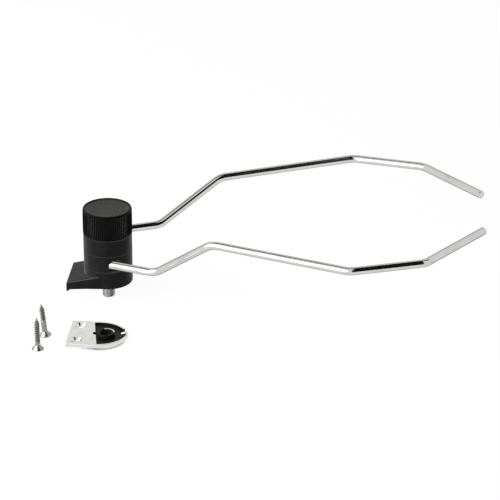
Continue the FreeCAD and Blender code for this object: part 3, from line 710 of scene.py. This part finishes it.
def mirror_metal(name, tint):
    """Mirror polish with a faint orange peel and hairline wiping scratches."""
    material, tree, shader = surface(name, tint, 0.05, 1.0)
    place = add_node(tree, "ShaderNodeTexCoord").outputs["Object"]
    peel = add_node(tree, "ShaderNodeTexNoise", {
        "Vector": place, "Scale": 220, "Detail": 3, "Roughness": 0.5})
    wiped = add_node(tree, "ShaderNodeMapping", {
        "Vector": place, "Rotation": (0, 0, math.radians(35)), "Scale": (2500, 120, 400)})
    lines = add_node(tree, "ShaderNodeTexNoise", {"Vector": wiped.outputs[0], "Scale": 1, "Detail": 2})
    dull = tuple(channel * 0.9 for channel in tint)
    color = add_node(tree, "ShaderNodeMix", {
        "Factor": ramp(tree, peel.outputs["Fac"], 0.35, 0.7), 6: (*tint, 1), 7: (*dull, 1),
    }, data_type="RGBA")
    tree.links.new(color.outputs[2], shader.inputs["Base Color"])
    tree.links.new(ramp(tree, lines.outputs["Fac"], 0.3, 0.8, 0.05, 0.10), shader.inputs["Roughness"])
    height = sums(tree, "ADD", peel.outputs["Fac"], sums(tree, "MULTIPLY", lines.outputs["Fac"], 0.06))
    bump = add_node(tree, "ShaderNodeBump", {"Height": height, "Strength": 0.2, "Distance": 0.00004})
    tree.links.new(bump.outputs["Normal"], shader.inputs["Normal"])
    return material


bright = mirror_metal("bright_plate", (0.74, 0.74, 0.715))
bush_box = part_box("plate_thread_bush")
bush_middle = (bush_box[0] + bush_box[1]) / 2
bush_low, bush_high = (corner.z / MM for corner in bush_box)
# Near-black colour for the walls and floor of the plate's recess and for the bush.
near_black = moulded("near_black", (0.008, 0.007, 0.006), (0.017, 0.0155, 0.0135), 0.36, 1500, 0.5, 0.06)
plate_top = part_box("deck_plate")[1].z
plate = from_node("plate", "deck_plate")
soften(plate, 0.15)
dress(plate, bright, "bright_plate", "root", "deck_plate")
plate.data.materials.append(near_black)
# The recess's walls and floor are coloured near-black.
for face in plate.data.polygons:
    inward = (face.center - bush_middle).dot(face.normal) < 0 and abs(face.normal.z) < 0.5
    sunken = face.normal.z > 0.5 and face.center.z < plate_top - 1.5 * MM
    if (inward or sunken) and face.center.x > bush_middle.x - 12 * MM:
        face.material_index = 1


def bush_thread(angle, height):
    """Depth of the thread cut outwards into the bush's bore."""
    return machine_thread(angle, height) - THREAD_DEPTH


bush_rows = [
    (6.6, bush_low + 0.3), (6.6, bush_high - 0.45), (6.4, bush_high - 0.12), (5.95, bush_high),
    (5.3, bush_high)]
height = bush_high - 0.5
bush_rows.append((4.6, height, 0.3))
while height > bush_low + 0.6:
    height -= PITCH / 12
    bush_rows.append((4.25, height, 0.9))
bush_rows += [(4.9, bush_low, 0), (6.3, bush_low)]
bush = turned("bush", bush_rows, 64, bush_thread, 40)
bush.data.transform(Matrix.Translation((bush_middle.x, bush_middle.y, 0)))
dress(bush, near_black, "bright_plate", "root", "plate_thread_bush")
# Painted highlight: one side of the bush's rim is coloured with the plate's bright metal.
bush.data.materials.append(bright)
for face in bush.data.polygons:
    outward = (face.center.xy - bush_middle.xy) / MM
    glint_side = outward.x > -2 and outward.y > 0.5
    if 5.25 < outward.length < 6.2 and face.center.z > (bush_high - 0.3) * MM and glint_side:
        face.material_index = 1

# ---------------------------------------------------------------------------------------------
# Deck screws: two countersunk stainless wood screws, 4.6 by 26.6 mm, with a cross recess. They stand
# on their heads beside the plate. The rolled thread ends in a gimlet point. Their stainless is coloured
# darker as painted shade, and the thread's root darker still, a painted shade between the crests.
# ---------------------------------------------------------------------------------------------
SCREW = 2.3
CORE = 1.4
SCREW_PITCH = 1.8
SCREW_LONG = 26.6
SCREW_HEAD = 4.6
SHANK = 2.05


def wood_thread(angle, height):
    """How far the surface lies below the sharp crest of a rolled wood thread."""
    phase = (height / SCREW_PITCH - angle / (2 * math.pi)) % 1
    crest = max(0, 1 - abs(phase - 0.5) / 0.26)
    return (SCREW - CORE) * (1 - crest)


def screw_rows(shank):
    """Profile of one screw, from its head to its point, with a plain shank up to a height."""
    rows = [
        (0, 0), (4.3, 0), (SCREW_HEAD, 0.12), (SCREW_HEAD, 0.4), (3.2, 1.95), (2.45, 2.8), (2.2, 3.3),
        (SHANK, 4.0), (SHANK, shank - 0.6)]
    height = shank
    while height < SCREW_LONG - 0.35:
        fade = min(1, (height - shank + 0.2) / 1.5)
        point = min(1, (SCREW_LONG - height) / 5.2)
        reach = SHANK + (SCREW - SHANK) * fade if point == 1 else SCREW * point
        rows.append((reach, height, fade * point))
        height += SCREW_PITCH / 14
    return rows + [(0, SCREW_LONG)]


# Painted shade: the screws' stainless is coloured darker than the plain steel.
screw_steel = plain_metal("screw_steel", (0.34, 0.33, 0.305), 0.16, (700, 700, 2200), 0.3)
# Painted shade: the thread's root is coloured darker than its crests.
painted_root_shade = plain_metal("painted_root_shade", (0.17, 0.16, 0.145), 0.2, (700, 700, 2200), 0.3)
floor_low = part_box("deck_screws")[0].z
for label, forward, sideways, lean, shank in (
        ("front", -40.1, -97.4, 1, 5.2), ("back", -38.0, -74.7, 6, 12)):
    screw = turned("screw_" + label, screw_rows(shank), 48, wood_thread, 50)
    for quarter in (0, 90):
        blade = prism("recess", [(-2.3, -0.45), (2.3, -0.45), (2.3, 0.45), (-2.3, 0.45)],
                      -0.5, 1.7, axis="Z")
        blade.data.transform(Matrix.Rotation(math.radians(quarter + 20), 4, "Z"))
        carve(screw, blade, "DIFFERENCE", 50)
    lift = SCREW_HEAD * math.sin(math.radians(lean)) * MM
    stand = Matrix.Translation((forward * MM, sideways * MM, floor_low + lift)) @ Matrix.Rotation(
        -math.radians(lean), 4, "Y")
    dress(screw, screw_steel, "screw_steel", "root", "deck_screws")
    screw.data.materials.append(painted_root_shade)
    for face in screw.data.polygons:
        if face.center.xy.length < (CORE + 0.2) * MM and shank * MM < face.center.z < (SCREW_LONG - 3) * MM:
            face.material_index = 1
    screw.data.transform(stand)

# Only the plate, its bush, the screws and the studio show in reflections. The turret and the arms
# are kept out, so that the mirror plate shows the room alone.
mirrored = ("plate", "bush", "screw_front", "screw_back", "floor", "black_cloth", "dark_rail")
for item in bpy.data.objects:
    if item.type == "MESH" and item.name not in mirrored:
        item.visible_glossy = False
